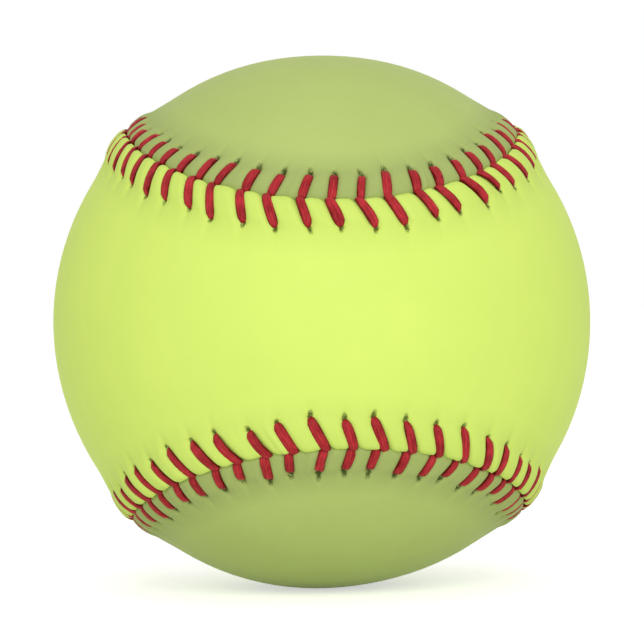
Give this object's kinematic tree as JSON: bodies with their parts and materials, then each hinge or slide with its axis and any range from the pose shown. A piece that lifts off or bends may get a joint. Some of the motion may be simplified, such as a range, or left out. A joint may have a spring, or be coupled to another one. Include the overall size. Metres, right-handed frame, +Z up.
{
  "type": "baseball",
  "caption": "Leather-covered ball with a cushioned cork centre, wound yarn layers and a raised red stitched seam between two figure-eight panels.",
  "frame": {"origin": "centre of the ball", "axes": "+Z up; -Y through the middle of the front panel's waist, +Y through the middle of the back panel's waist; +X and -X through the front panel's two lobes; +Z and -Z through the back panel's two lobes"},
  "size_m": [0.0736, 0.0736, 0.0738],
  "materials": {
    "cork": "matt, speckled with rubber",
    "black_rubber": "matt",
    "red_rubber": "matt",
    "grey_wool": "wound yarn",
    "white_wool": "wound yarn",
    "finish_yarn": "fine wound yarn",
    "bright_leather": "smooth, slight sheen",
    "sage_leather": "smooth, slight sheen",
    "red_thread": "waxed thread"
  },
  "bodies": {
    "root": {"cork_center": "cork", "black_rubber_shell_upper": "black_rubber", "black_rubber_shell_lower": "black_rubber", "rubber_gasket": "red_rubber", "red_rubber_shell_upper": "red_rubber", "red_rubber_shell_lower": "red_rubber", "inner_grey_wool_winding": "grey_wool", "white_wool_winding": "white_wool", "outer_grey_wool_winding": "grey_wool", "cotton_finish_winding": "finish_yarn", "front_cover_panel": "bright_leather", "back_cover_panel": "sage_leather", "seam_thread": "red_thread"}
  },
  "joints": []
}
